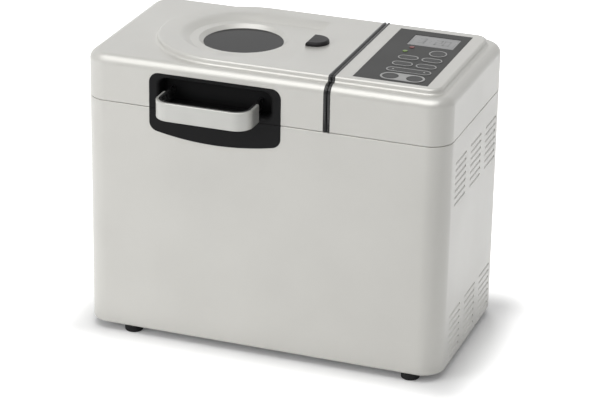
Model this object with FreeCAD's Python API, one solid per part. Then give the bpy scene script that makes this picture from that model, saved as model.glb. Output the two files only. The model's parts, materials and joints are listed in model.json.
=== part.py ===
import FreeCAD, Part
import math
import os
from FreeCAD import Vector

os.makedirs("parts", exist_ok=True)

# Casing, in millimetres: X to the right, Y to the back, Z up
width = 420.0
depth = 222.0
foot_height = 8.0
body_height = 270.0
lid_height = 53.0
plateau_rise = 6.7
corner_radius = 26.0
wall = 2.5
seam_gap = 0.5
seam_edge_radius = 1.0
bottom_edge_radius = 3.0
shoulder_radius = 10.5
plateau_inset = 15.0
plateau_edge_radius = 3.0
cove_radius = 3.0
base_lift = 1.0
base_thickness = 2.5
ledge_width = 8.0
ledge_height = 4.0
deck_thickness = 2.0
deck_drop = 3.0
fit = 0.2
running_clearance = 0.4

# Control head on the right, with a dark edge plate on each side of the parting line
head_width = 136.0
parting_gap = 1.3
edge_plate = 3.4

# Lid window, recess and steam vent
recess_half_width = 72.0
recess_right = 78.5
recess_depth = 6.0
recess_slope = 12.0
recess_floor_round = 2.5
window_rim_radius = 50.0
window_radius = 45.0
window_sink = 4.0
glass_thickness = 3.0
glass_overlap = 5.0
glass_ring_width = 6.0
vent_cap_radius = 15.5
vent_cap_length = 22.0
vent_cap_height = 4.5
vent_cap_edge = 2.6
vent_floor = 0.8
vent_slit = 2.0
vent_mouth_width = 6.4
vent_mouth_pitch = 8.5
vent_hole_radius = 4.0
vent_stem_wall = 1.2
vent_stem_length = 6.0

# Grip: an escutcheon across the seam, a finger pocket and a bow handle
grip_shift = 14.0
grip_width = 153.0
grip_shoulder_margin = 1.5
grip_below = 24.5
grip_sag = 9.0
grip_corner = 11.0
grip_proud = 0.5
grip_flange = 3.0
pocket_width = 130.0
pocket_low = 6.0
pocket_margin = 5.0
pocket_liner_gap = 3.0
pocket_wall = 2.0
pocket_mouth_radius = 4.0
handle_shift = -4.0
handle_width = 112.0
handle_reach = 36.0
handle_low = 0.5
handle_high = 21.5
handle_corner = 19.0
handle_cover = 3.0
handle_core = 3.0

# Rear hinge of the lid
hinge_span = 190.0
hinge_offset = 4.0
hinge_barrel_radius = 3.5
hinge_pin_radius = 1.5
hinge_knuckle = 12.0
hinge_gap = 0.3
hinge_leaf_thickness = 1.5
hinge_leaf_height = 16.0

# Control plate, display, lamps and keys; rows are shares of the run from plate edge to display
plate_left_margin = 16.5
plate_right_margin = 16.0
plate_front_margin = 23.0
plate_rear_margin = 28.0
plate_thickness = 1.5
head_top_wall = 4.0
display_width = 53.4
display_depth = 35.0
display_right_margin = 35.7
display_rear_margin = 31.5
display_sink = 0.4
key_right_margin = 19.6
key_column_step = 26.9
key_row_shares = (0.131, 0.311, 0.475, 0.648, 0.834)
round_key = 17.0
program_key_size = 16.4
long_key_length = 46.8
short_key_length = 19.7
bar_key_breadth = 9.6
surround_length = 49.4
surround_breadth = 21.6
key_travel = 1.0
key_proud = 0.6
key_edge = 0.4
key_hole_clearance = 0.4
key_flange = 1.2
key_flange_margin = 1.7
key_ring_width = 1.3
key_ring_height = 0.5
switch_size = 6.0
switch_play = 0.3
lamp_radius = 2.8
lamp_proud = 0.6
green_lamp_margin = 56.4
green_lamp_share = 0.809
red_lamp_margin = 53.0
red_lamp_share = 0.926
board_thickness = 1.6
board_drop = 12.0
board_inset = 4.0

# Side louvres: a sloped sill with a slit behind its upper edge
slot_length = 40.0
slot_height = 3.2
slot_sink = 1.6
slit_height = 0.9
slot_pitch = 8.0
slot_rows = 7
slot_column_pitch = 58.0
slot_columns_y = 3.0
upper_slots_drop = 77.0
lower_slots_rise = 12.0

# Oven, pan and drive
oven_shift = 5.0
oven_width = 210.0
oven_depth = 176.0
oven_corner = 22.0
oven_wall = 1.0
oven_lift = 32.0
oven_flange = 7.0
probe_radius = 3.0
probe_length = 22.0
probe_inside = 12.0
probe_y = -45.0
probe_lift = 70.0
pan_side_gap = 20.0
pan_end_gap = 23.0
pan_corner = 24.0
pan_wall = 1.5
pan_bottom_radius = 8.0
pan_standoff = 20.0
pan_headroom = 47.0
pan_rim_width = 4.0
pan_rim_height = 2.0
pan_ring_radius = 36.0
pan_ring_wall = 3.0
clip_ring_wall = 3.0
clip_ring_height = 9.0
bush_radius = 8.0
bush_flange = 3.0
bail_wire = 2.5
bail_arm = 56.0
bail_bend = 8.0
bail_lift = 5.0
bail_side_gap = 1.6
ear_width = 14.0
ear_thickness = 2.5
ear_length = 20.0
pin_play = 0.1
pan_shaft_radius = 4.0
shaft_play = 0.05
paddle_lift = 2.0
paddle_reach = 46.0
paddle_height = 24.0
paddle_hub_radius = 11.0
paddle_blade = 6.0
paddle_blade_drop = 6.0
paddle_toe = 16.0
paddle_toe_rise = 8.0
drive_shaft_radius = 5.0
bearing_radius = 13.0
bearing_flange = 12.0
bearing_flange_height = 4.0
bearing_gap = 2.5
coupler_radius = 15.0
coupler_height = 5.0
coupler_gap = 1.5
dog_inset = 2.0
dog_width = 6.0
dog_length = 24.0
dog_height = 8.0
dog_play = 0.6
dog_end_gap = 1.0
pulley_lift = 4.0
pulley_radius = 45.0
pulley_hole_radius = 10.0
pulley_hole_circle = 27.0
pulley_holes = 6
pinion_radius = 9.0
pulley_height = 10.0
pulley_flange = 2.0
pulley_flange_height = 1.2
pulley_flange_overlap = 0.2
belt_thickness = 2.4
belt_play = 0.3
belt_edge_gap = 0.6
motor_margin = 78.0
motor_radius = 34.0
motor_height = 70.0
motor_edge = 4.0
motor_shaft_radius = 4.0
motor_shaft_depth = 40.0
bracket_gap = 6.0
bracket_margin = 8.0
bracket_thickness = 3.0
bracket_leg = 8.0
heater_radius = 3.5
heater_lift = 18.0
heater_margin = 9.0
heater_bend = 30.0
heater_tail_bend = 10.0
heater_tail_y = 30.0
heater_tail_length = 14.0
heater_clip = 6.0
terminal_wall = 3.0
terminal_length = 8.0
liner_margin = 12.0
liner_wall = 1.2
liner_drop = 26.7
liner_end_gap = 4.0
liner_side_inset = 2.0
gasket_height = 3.0
gasket_width = 6.0

# Mains board on the rear wall
power_board_width = 70.0
power_board_height = 90.0
power_board_lift = 122.0
power_board_gap = 10.4
standoff_radius = 3.0
standoff_inset = 6.0
transformer_size = 32.0
transformer_depth = 28.0
relay_width = 20.0
relay_height = 26.0
relay_depth = 16.0
component_inset = 7.0
component_lift = 10.0
capacitor_radius = 9.0
capacitor_length = 24.0
capacitor_x = -12.0
capacitor_drop = 22.0

# Feet, screws and cord gland
foot_radius = 10.5
foot_stem_radius = 7.0
foot_edge = 1.5
foot_left_inset = 54.0
foot_right_inset = 35.0
foot_inset_y = 11.5
base_screw_inset = 80.0
screw_radius = 1.6
screw_head_radius = 3.2
screw_head_height = 1.8
screw_end_gap = 0.5
lid_screw_length = 9.0
boss_radius = 4.5
boss_inset_left = 12.0
boss_inset_right = 16.0
boss_inset_y = 14.0
post_radius = 3.0
leg_inset = 14.0
leg_right_inset = 20.0
leg_inset_y = 34.0
gland_radius = 8.0
gland_bore = 3.7
gland_collar = 3.0
gland_collar_length = 4.0
gland_margin = 60.0
gland_lift = 37.0

# Levels and faces that follow from the sizes above
front_y = -depth / 2
rear_y = depth / 2
seam_height = foot_height + body_height
shoulder_height = seam_height + lid_height
plateau_height = shoulder_height + plateau_rise
lid_bottom = seam_height + seam_gap
base_bottom = foot_height + base_lift
base_top = base_bottom + base_thickness
deck_top = seam_height - deck_drop
ledge_low = deck_top - deck_thickness - ledge_height
parting_x = width / 2 - head_width
lid_end_x = parting_x - edge_plate
head_start_x = parting_x + parting_gap
head_shell_x = head_start_x + edge_plate - fit
lid_middle = (parting_x - width / 2) / 2
plateau_half = depth / 2 - plateau_inset
plateau_edge_round = min(plateau_edge_radius, 0.45 * plateau_rise)
cove_round = min(cove_radius, 0.45 * plateau_rise)
oven_x = lid_middle + oven_shift
oven_x0 = oven_x - oven_width / 2
oven_x1 = oven_x + oven_width / 2
oven_floor = foot_height + oven_lift
flange_top = deck_top + oven_wall
window_x = oven_x
recess_right_x = window_x + recess_right
recess_floor = plateau_height - recess_depth
glass_top = recess_floor - window_sink
glass_bottom = glass_top - glass_thickness
vent_hole_x = recess_right_x + vent_cap_length / 2
liner_ceiling = plateau_height - liner_drop
grip_x = lid_middle + grip_shift
grip_above = lid_height - shoulder_radius - grip_shoulder_margin
pocket_x0 = grip_x - pocket_width / 2
pocket_x1 = grip_x + pocket_width / 2
pocket_z0 = seam_height + pocket_low
pocket_z1 = seam_height + grip_above - pocket_margin
liner_half = oven_depth / 2 - liner_side_inset
pocket_depth = depth / 2 - liner_half - pocket_liner_gap - pocket_wall
pocket_back = front_y + pocket_depth
handle_x = grip_x + handle_shift
hinge_y = rear_y + hinge_offset
frame_shift = (handle_reach - hinge_offset - hinge_barrel_radius) / 2
plate_top = plateau_height
plate_x0 = head_shell_x + plate_left_margin
plate_x1 = width / 2 - plateau_inset - plate_right_margin
plate_y0 = front_y + plate_front_margin
plate_y1 = rear_y - plate_rear_margin
display_x = plate_x1 - display_right_margin
display_y = plate_y1 - display_rear_margin
key_run = display_y - display_depth / 2 - plate_y0
key_column_right = plate_x1 - key_right_margin
key_column_left = key_column_right - key_column_step
key_middle = (key_column_left + key_column_right) / 2
key_rows = [plate_y0 + share * key_run for share in key_row_shares]
board_top = plate_top - board_drop
pan_width = oven_width - 2 * pan_side_gap
pan_depth = oven_depth - 2 * pan_end_gap
pan_bottom = oven_floor + pan_standoff
pan_rim = deck_top - pan_headroom
bail_z = pan_rim + bail_lift
heater_z = oven_floor + heater_lift
probe_z = oven_floor + probe_lift
pulley_low = base_top + pulley_lift
pulley_high = pulley_low + pulley_height
coupler_low = oven_floor + oven_wall + coupler_gap
dog_low = coupler_low + coupler_height
paddle_low = pan_bottom + pan_wall + paddle_lift
motor_x = width / 2 - motor_margin
gland_x = width / 2 - gland_margin
gland_z = foot_height + gland_lift
reach = 2 * width


def box(x0, x1, y0, y1, z0, z1):
    return Part.makeBox(x1 - x0, y1 - y0, z1 - z0, Vector(x0, y0, z0))


def rod(radius, x, y, z0, z1):
    return Part.makeCylinder(radius, z1 - z0, Vector(x, y, z0))


def tube(outer, inner, x, y, z0, z1):
    return rod(outer, x, y, z0, z1).cut(rod(inner, x, y, z0, z1))


def rounded_box(x0, x1, y0, y1, z0, z1, radius):
    block = box(x0, x1, y0, y1, z0, z1)
    corners = [e for e in block.Edges if abs(e.tangentAt(e.FirstParameter).z) > 0.99]
    return block.makeFillet(radius, corners)


def level_edges(shape, level):
    found = []
    for edge in shape.Edges:
        bounds = edge.BoundBox
        if abs(bounds.ZMin - level) < 0.01 and abs(bounds.ZMax - level) < 0.01:
            found.append(edge)
    return found


def pill(x, y, length, breadth, z0, z1):
    radius = breadth / 2
    straight = max(length / 2 - radius, 0.0)
    if straight < 0.01:
        return rod(radius, x, y, z0, z1)
    middle = box(x - straight, x + straight, y - radius, y + radius, z0, z1)
    ends = [rod(radius, x + side * straight, y, z0, z1) for side in (-1, 1)]
    return middle.fuse(ends).removeSplitter()


def half_round_face(x, radius, right_x, z):
    start = Vector(x, radius, z)
    left = Vector(x - radius, 0, z)
    end = Vector(x, -radius, z)
    low = Vector(right_x, -radius, z)
    high = Vector(right_x, radius, z)
    edges = [Part.Arc(start, left, end).toShape()]
    for a, b in ((end, low), (low, high), (high, start)):
        edges.append(Part.makeLine(a, b))
    return Part.Face(Part.Wire(edges))


def export(name, *solids):
    shape = solids[0] if len(solids) == 1 else Part.makeCompound(list(solids))
    shape = shape.copy()
    shape.translate(Vector(0, frame_shift, 0))
    shape.exportStep("parts/" + name + ".step")


def screw(x, y, face_z, length):
    seat = Vector(x, y, face_z)
    head = Part.makeCylinder(screw_head_radius, screw_head_height, seat, Vector(0, 0, -1))
    shank = Part.makeCylinder(screw_radius, length, seat, Vector(0, 0, 1))
    return head.fuse(shank).removeSplitter()


# Top profile: vertical face, rounded shoulder, cove and raised plateau
def top_solid(plateau):
    block = rounded_box(-width / 2, width / 2, front_y, rear_y,
                        lid_bottom, shoulder_height, corner_radius)
    block = block.makeFillet(shoulder_radius, level_edges(block, shoulder_height))
    block = block.makeFillet(seam_edge_radius, level_edges(block, lid_bottom))
    joined = block.fuse(plateau).removeSplitter()
    cove = []
    for edge in level_edges(joined, shoulder_height):
        middle = edge.valueAt((edge.FirstParameter + edge.LastParameter) / 2)
        if abs(middle.y) < plateau_half + 0.1 and abs(middle.x) < width / 2 - plateau_inset + 0.1:
            cove.append(edge)
    joined = joined.makeFillet(cove_round, cove)
    return joined.makeFillet(plateau_edge_round, level_edges(joined, plateau_height))


def top_cavity(plateau):
    block = rounded_box(-width / 2 + wall, width / 2 - wall, front_y + wall, rear_y - wall,
                        lid_bottom - 1, shoulder_height - wall, corner_radius - wall)
    block = block.makeFillet(shoulder_radius - wall, level_edges(block, shoulder_height - wall))
    return block.fuse(plateau)


def lid_plateau(inset, top):
    low = shoulder_height - shoulder_radius
    face = half_round_face(window_x, plateau_half - inset, parting_x + corner_radius, low)
    return face.extrude(Vector(0, 0, top - low))


def head_plateau(inset, top):
    right = width / 2 - plateau_inset - inset
    half = plateau_half - inset
    low = shoulder_height - shoulder_radius
    return rounded_box(parting_x - 2 * corner_radius, right, -half, half, low, top, plateau_inset)


lid_solid = top_solid(lid_plateau(0, plateau_height))
lid_cavity = top_cavity(lid_plateau(plateau_edge_round + wall, plateau_height - wall))
head_solid = top_solid(head_plateau(0, plateau_height))
head_cavity = top_cavity(head_plateau(plateau_edge_round + wall, plateau_height - head_top_wall))


def slab(x0, x1):
    return box(x0, x1, -reach, reach, -reach, reach)


# Escutcheon outline, swept from front to back
def grip_prism(grow, y0, y1, z_low, z_high):
    x0 = grip_x - grip_width / 2 - grow
    x1 = grip_x + grip_width / 2 + grow
    top = seam_height + grip_above + grow
    side = seam_height - grip_below - grow
    low = side - grip_sag
    points = [Vector(x0, y0, side), Vector(x0, y0, top), Vector(x1, y0, top), Vector(x1, y0, side)]
    edges = [Part.makeLine(points[i], points[i + 1]) for i in range(3)]
    edges.append(Part.Arc(points[3], Vector(grip_x, y0, low), points[0]).toShape())
    prism = Part.Face(Part.Wire(edges)).extrude(Vector(0, y1 - y0, 0))
    corners = [e for e in prism.Edges if e.BoundBox.XLength < 0.01 and e.BoundBox.ZLength < 0.01]
    prism = prism.makeFillet(grip_corner + grow, corners)
    return prism.common(box(-reach, reach, -reach, reach, z_low, z_high))


def pocket_block(grow, y1):
    block = box(pocket_x0 - grow, pocket_x1 + grow, front_y - pocket_depth, y1,
                pocket_z0 - grow, pocket_z1 + grow)
    corners = [e for e in block.Edges if abs(e.tangentAt(e.FirstParameter).y) > 0.99]
    return block.makeFillet(grip_corner - pocket_wall + grow, corners)


def make_lid():
    floor_half = recess_half_width - recess_slope
    recess_low = half_round_face(window_x, floor_half, recess_right_x, recess_floor)
    recess_high = half_round_face(window_x, recess_half_width, recess_right_x, plateau_height)
    recess = Part.makeLoft([recess_low.OuterWire, recess_high.OuterWire], True, True)
    recess = recess.makeFillet(recess_floor_round, level_edges(recess, recess_floor))
    keep = half_round_face(window_x, recess_half_width + wall, recess_right_x + wall,
                           recess_floor - wall)
    keep = keep.extrude(Vector(0, 0, reach))
    rim_keep = rod(window_rim_radius + 2 * glass_overlap, window_x, 0, glass_top, plateau_height)
    cavity = lid_cavity.cut(keep).cut(rim_keep)
    rim = Part.makeCone(window_radius, window_rim_radius, window_sink, Vector(window_x, 0, glass_top))
    vent = rod(vent_hole_radius, vent_hole_x, 0, seam_height, reach)
    front_cut = grip_prism(fit, front_y - 1, front_y + wall + 1, lid_bottom - 1, reach)
    shell = lid_solid.cut(cavity).cut(recess).cut(rim).cut(vent).cut(front_cut)
    shell = shell.common(slab(-reach, lid_end_x))
    bosses = [rod(boss_radius, x, y, liner_ceiling, plateau_height).common(lid_solid)
              for x, y in lid_boss_places]
    shell = shell.fuse(bosses).removeSplitter()
    holes = [rod(screw_radius + fit / 2, x, y, seam_height, liner_ceiling + lid_screw_length)
             for x, y in lid_boss_places]
    export("lid_shell", shell.cut(Part.makeCompound(holes)))
    export("lid_edge_plate", lid_solid.common(slab(lid_end_x, parting_x)))


def make_head():
    pocket = box(plate_x0, plate_x1, plate_y0, plate_y1, plate_top - plate_thickness, plate_top + 1)
    shell = head_solid.cut(head_cavity).cut(pocket).cut(key_cuts(key_hole_clearance, -reach))
    display_cut = box(display_x - display_width / 2, display_x + display_width / 2,
                      display_y - display_depth / 2, display_y + display_depth / 2, seam_height, reach)
    shell = shell.cut(display_cut).cut(lamp_cuts())
    shell = shell.common(slab(head_shell_x, reach))
    posts = [rod(post_radius, x, y, board_top, plate_top - plate_thickness) for x, y in board_posts]
    legs = [rod(boss_radius, x, y, lid_bottom, plate_top - plate_thickness).common(head_solid)
            for x, y in head_posts]
    legs += [rod(boss_radius, x, y, deck_top, lid_bottom) for x, y in head_posts]
    export("control_housing", shell.fuse(posts + legs).removeSplitter())
    export("head_edge_plate", head_solid.common(slab(head_start_x, head_shell_x)))
    plate = box(plate_x0 + fit, plate_x1 - fit, plate_y0 + fit, plate_y1 - fit,
                plate_top - plate_thickness, plate_top)
    plate = plate.cut(key_cuts(key_hole_clearance, -reach)).cut(display_cut).cut(lamp_cuts())
    export("control_plate", plate)
    lens = box(display_x - display_width / 2 + fit, display_x + display_width / 2 - fit,
               display_y - display_depth / 2 + fit, display_y + display_depth / 2 - fit,
               board_top, plate_top - display_sink)
    export("display_module", lens)
    for name, x, y in lamps:
        export(name, rod(lamp_radius, x, y, board_top, plate_top + lamp_proud))


# Keys: name, place, length, breadth
keys = (
    ("start_key", key_column_left, key_rows[0], round_key, round_key),
    ("stop_key", key_column_right, key_rows[0], round_key, round_key),
    ("timer_key", key_middle, key_rows[1], long_key_length, bar_key_breadth),
    ("hour_key", key_column_left, key_rows[2], short_key_length, bar_key_breadth),
    ("minute_key", key_column_right, key_rows[2], short_key_length, bar_key_breadth),
    ("crust_key", key_column_left, key_rows[3], short_key_length, bar_key_breadth),
    ("size_key", key_column_right, key_rows[3], short_key_length, bar_key_breadth),
    ("program_key", key_column_right, key_rows[4], program_key_size, program_key_size),
)
lamps = (
    ("green_lamp", plate_x1 - green_lamp_margin, plate_y0 + green_lamp_share * key_run),
    ("red_lamp", plate_x1 - red_lamp_margin, plate_y0 + red_lamp_share * key_run),
)
board_x = (plate_x0 + board_inset, plate_x1 - board_inset)
board_y = (plate_y0 + board_inset, plate_y1 - board_inset)
board_posts = [(x, y) for x in (board_x[0] + board_inset, board_x[1] - board_inset)
               for y in (board_y[0] + board_inset, board_y[1] - board_inset)]
head_posts = [(x, y) for x in (head_shell_x + leg_inset, width / 2 - leg_right_inset)
              for y in (front_y + leg_inset_y, rear_y - leg_inset_y)]
lid_boss_places = [(x, y) for x in (oven_x0 + boss_inset_left, oven_x1 - boss_inset_right)
                   for y in (boss_inset_y - oven_depth / 2, oven_depth / 2 - boss_inset_y)]


def key_cuts(grow, z0):
    return Part.makeCompound([pill(x, y, length + 2 * grow, breadth + 2 * grow, z0, reach)
                              for name, x, y, length, breadth in keys])


def lamp_cuts():
    return Part.makeCompound([rod(lamp_radius + fit, x, y, seam_height, reach) for name, x, y in lamps])


def make_keys():
    under = plate_top - head_top_wall
    stop = under - running_clearance
    switches = []
    for name, x, y, length, breadth in keys:
        cap = pill(x, y, length, breadth, stop - key_flange, plate_top + key_proud)
        cap = cap.makeFillet(key_edge, level_edges(cap, plate_top + key_proud))
        flange = pill(x, y, length + 2 * key_flange_margin, breadth + 2 * key_flange_margin,
                      stop - key_flange, stop)
        export(name, cap.fuse(flange).removeSplitter())
        half = switch_size / 2
        switches.append(box(x - half, x + half, y - half, y + half, board_top,
                            stop - key_flange - key_travel - switch_play))
    export("key_switches", *switches)
    surround = pill(key_middle, key_rows[0], surround_length, surround_breadth,
                    plate_top, plate_top + key_ring_height)
    rings = [surround.cut(key_cuts(key_hole_clearance, -reach))]
    grow = 2 * (key_hole_clearance + key_ring_width)
    for name, x, y, length, breadth in keys[2:]:
        outer = pill(x, y, length + grow, breadth + grow, plate_top, plate_top + key_ring_height)
        rings.append(outer.cut(key_cuts(key_hole_clearance, -reach)))
    export("key_surrounds", *rings)
    board = box(*board_x, *board_y, board_top - board_thickness, board_top)
    export("control_board", board)


# A louvre: sloped sill, slit through the wall at its upper edge
def louvre(y, z):
    face = width / 2
    low = z - slot_height / 2
    high = z + slot_height / 2
    slit = high - slit_height
    corners = [(face + wall, low), (face, low), (face - slot_sink, slit),
               (face - 2 * wall, slit), (face - 2 * wall, high), (face + wall, high)]
    points = [Vector(x, y - slot_length / 2, level) for x, level in corners]
    outline = Part.makePolygon(points + points[:1])
    return Part.Face(outline).extrude(Vector(0, slot_length, 0))


def make_casing():
    outer = rounded_box(-width / 2, width / 2, front_y, rear_y, foot_height, seam_height, corner_radius)
    outer = outer.makeFillet(bottom_edge_radius, level_edges(outer, foot_height))
    outer = outer.makeFillet(seam_edge_radius, level_edges(outer, seam_height))
    inner = rounded_box(-width / 2 + wall, width / 2 - wall, front_y + wall, rear_y - wall,
                        foot_height - 1, seam_height + 1, corner_radius - wall)
    shell = outer.cut(inner)
    for low in (ledge_low, base_top):
        solid = rounded_box(-width / 2 + wall / 2, width / 2 - wall / 2,
                            front_y + wall / 2, rear_y - wall / 2,
                            low, low + ledge_height, corner_radius - wall / 2)
        edge = wall + ledge_width
        hole = rounded_box(-width / 2 + edge, width / 2 - edge, front_y + edge, rear_y - edge,
                           low - 1, low + ledge_height + 1, corner_radius - edge)
        shell = shell.fuse(solid.cut(hole))
    louvres = []
    for start in (seam_height - upper_slots_drop, foot_height + lower_slots_rise):
        for row in range(slot_rows):
            for column in (-1, 0, 1):
                louvres.append(louvre(slot_columns_y + column * slot_column_pitch, start + row * slot_pitch))
    gland_hole = Part.makeCylinder(gland_radius + fit / 2, 4 * wall,
                                   Vector(gland_x, rear_y - 2 * wall, gland_z), Vector(0, 1, 0))
    shell = shell.cut(Part.makeCompound(louvres)).cut(gland_hole)
    shell = shell.cut(grip_prism(fit, front_y - wall, front_y + 2 * wall, -reach, reach))
    holes = [rod(screw_radius + fit / 2, x, y, foot_height, base_top + ledge_height) for x, y in base_screws]
    export("casing", shell.cut(Part.makeCompound(holes)).removeSplitter())
    edge = wall + fit
    base = rounded_box(-width / 2 + edge, width / 2 - edge, front_y + edge, rear_y - edge,
                       base_bottom, base_top, corner_radius - edge)
    holes = [rod(screw_radius + fit / 2, x, y, foot_height, base_top + 1) for x, y in base_screws]
    export("base_plate", base.cut(Part.makeCompound(holes)))
    deck = rounded_box(-width / 2 + edge, width / 2 - edge, front_y + edge, rear_y - edge,
                       deck_top - deck_thickness, deck_top, corner_radius - edge)
    mouth = rounded_box(oven_x0 - fit, oven_x1 + fit, -oven_depth / 2 - fit, oven_depth / 2 + fit,
                        0, seam_height, oven_corner + fit)
    export("top_deck", deck.cut(mouth))
    feet = []
    for x, y in foot_places:
        pad = rod(foot_radius, x, y, 0, foot_height - fit)
        pad = pad.makeFillet(foot_edge, level_edges(pad, 0))
        stem = rod(foot_stem_radius, x, y, foot_height - fit, base_bottom)
        feet.append(pad.fuse(stem).removeSplitter())
    export("feet", *feet)
    screw_length = base_thickness + ledge_height - screw_end_gap
    export("base_screws", *[screw(x, y, base_bottom, screw_length) for x, y in base_screws])
    bush = Part.makeCylinder(gland_radius, wall, Vector(gland_x, rear_y - wall, gland_z), Vector(0, 1, 0))
    inner_face = rear_y - wall - gland_collar_length
    collar = Part.makeCylinder(gland_radius + gland_collar, gland_collar_length,
                               Vector(gland_x, inner_face, gland_z), Vector(0, 1, 0))
    bore = Part.makeCylinder(gland_bore, wall + gland_collar_length,
                             Vector(gland_x, inner_face, gland_z), Vector(0, 1, 0))
    export("cord_gland", bush.fuse(collar).removeSplitter().cut(bore))


foot_places = [(x, side * (depth / 2 - foot_inset_y)) for x in (foot_left_inset - width / 2,
                                                                width / 2 - foot_right_inset)
               for side in (-1, 1)]
screw_edge = wall + ledge_width / 2
base_screws = [(sx * (width / 2 - base_screw_inset), sy * (depth / 2 - screw_edge))
               for sx in (-1, 1) for sy in (-1, 1)]


def bow(inset, y1, z0, z1):
    x0 = handle_x - handle_width / 2 + inset
    x1 = handle_x + handle_width / 2 - inset
    y0 = front_y - handle_reach + inset
    block = box(x0, x1, y0, y1, z0, z1)
    corners = [e for e in block.Edges if abs(e.tangentAt(e.FirstParameter).z) > 0.99
               and abs(e.BoundBox.YMin - y0) < 0.01]
    return block.makeFillet(handle_corner - inset, corners)


def make_grip():
    low = seam_height + handle_low
    high = seam_height + handle_high
    stop = front_y - grip_proud
    cover = bow(0, stop, low, high).cut(bow(handle_cover, stop + 1, low - 1, high + 1))
    edges = []
    for edge in cover.Edges:
        bounds = edge.BoundBox
        level = bounds.ZLength < 0.01 and (abs(bounds.ZMin - low) < 0.01 or abs(bounds.ZMin - high) < 0.01)
        outside = bounds.YMin < front_y - handle_reach + 0.01
        if level and outside and bounds.XLength > 1:
            edges.append(edge)
    export("handle_cover", cover.makeFillet(handle_cover * 0.4, edges))
    core = bow(handle_cover, pocket_back, low, high)
    core = core.cut(bow(handle_cover + handle_core, pocket_back + 1, low - 1, high + 1))
    below = box(-reach, reach, stop - fit / 2, reach, 0, pocket_z0 + fit)
    export("handle_core", core.cut(below))
    plug = grip_prism(0, stop, front_y + wall, lid_bottom, reach)
    flange = grip_prism(grip_flange, front_y + wall, front_y + 2 * wall, lid_bottom,
                        shoulder_height - shoulder_radius)
    tub = pocket_block(pocket_wall, pocket_back + pocket_wall)
    tub = tub.common(box(-reach, reach, front_y, reach, lid_bottom, reach))
    recess = plug.fuse([flange, tub]).removeSplitter().cut(pocket_block(0, pocket_back))
    mouth = []
    for edge in recess.Edges:
        bounds = edge.BoundBox
        level = abs(bounds.YMin - stop) < 0.01 and bounds.YLength < 0.01
        if level and bounds.XMin > pocket_x0 - 0.1 and bounds.XMax < pocket_x1 + 0.1:
            if bounds.ZMin > pocket_z0 - 0.1 and bounds.ZMax < pocket_z1 + 0.1:
                mouth.append(edge)
    export("grip_recess", recess.makeFillet(pocket_mouth_radius, mouth))
    lower = grip_prism(0, stop, front_y + wall, 0, seam_height)
    backing = grip_prism(grip_flange, front_y + wall, front_y + 2 * wall, 0, ledge_low - fit)
    export("grip_lower_plate", lower.fuse(backing).removeSplitter())


def make_window():
    glass_radius = window_radius + glass_overlap
    export("window_glass", rod(glass_radius, window_x, 0, glass_bottom, glass_top))
    outer = glass_radius + glass_ring_width
    ring = tube(outer, window_radius, window_x, 0, liner_ceiling, glass_top)
    seat = rod(glass_radius + fit, window_x, 0, glass_bottom, glass_top + 1)
    export("window_ring", ring.cut(seat))
    x = recess_right_x
    back = vent_cap_length - vent_cap_radius
    cap_top = plateau_height + vent_cap_height
    block = box(x, x + back, -vent_cap_radius, vent_cap_radius, plateau_height, cap_top)
    round_end = rod(vent_cap_radius, x + back, 0, plateau_height, cap_top)
    cap = block.fuse(round_end.common(slab(x + back, reach))).removeSplitter()
    cap = cap.makeFillet(vent_cap_edge, level_edges(cap, cap_top))
    low = plateau_height + vent_floor
    high = low + vent_slit
    half = vent_mouth_width / 2
    duct_x = x + vent_mouth_width
    mouths = [box(x - 1, duct_x, y - half, y + half, low, high)
              for y in (-vent_mouth_pitch, 0, vent_mouth_pitch)]
    edge = vent_mouth_pitch + half
    duct = box(duct_x - fit, vent_hole_x + vent_slit, -edge, edge, low, high)
    bore_radius = vent_hole_radius - fit - vent_stem_wall
    stem_low = plateau_height - vent_stem_length
    stem = tube(vent_hole_radius - fit, bore_radius, vent_hole_x, 0, stem_low, low)
    bore = rod(bore_radius, vent_hole_x, 0, stem_low, high)
    cap = cap.cut(Part.makeCompound(mouths)).cut(duct).fuse(stem).removeSplitter().cut(bore)
    export("steam_vent_cap", cap)


def make_liner():
    x0 = oven_x0 - liner_margin
    x1 = min(oven_x1 + liner_margin, lid_end_x - liner_end_gap)
    low = flange_top + gasket_height + running_clearance
    tray = rounded_box(x0, x1, -liner_half, liner_half, low, liner_ceiling, oven_corner)
    hollow = rounded_box(x0 + liner_wall, x1 - liner_wall, -liner_half + liner_wall, liner_half - liner_wall,
                         low - 1, liner_ceiling - liner_wall, oven_corner - liner_wall)
    sight = rod(window_radius, window_x, 0, 0, reach)
    holes = [rod(screw_radius + fit / 2, x, y, 0, reach) for x, y in lid_boss_places]
    rim = rounded_box(x0, x1, -liner_half, liner_half, low, low + liner_wall, oven_corner)
    rim = rim.cut(rounded_box(x0 + gasket_width, x1 - gasket_width,
                              -liner_half + gasket_width, liner_half - gasket_width,
                              low - 1, liner_ceiling, oven_corner - gasket_width))
    export("lid_liner", tray.cut(hollow).fuse(rim).removeSplitter().cut(sight).cut(Part.makeCompound(holes)))
    seal = rounded_box(x0, x1, -liner_half, liner_half, low - gasket_height, low, oven_corner)
    seal = seal.cut(rounded_box(x0 + gasket_width, x1 - gasket_width,
                                -liner_half + gasket_width, liner_half - gasket_width,
                                low - gasket_height - 1, low + 1, oven_corner - gasket_width))
    export("lid_gasket", seal)
    export("lid_screws", *[screw(x, y, liner_ceiling - liner_wall, lid_screw_length)
                           for x, y in lid_boss_places])


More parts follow.
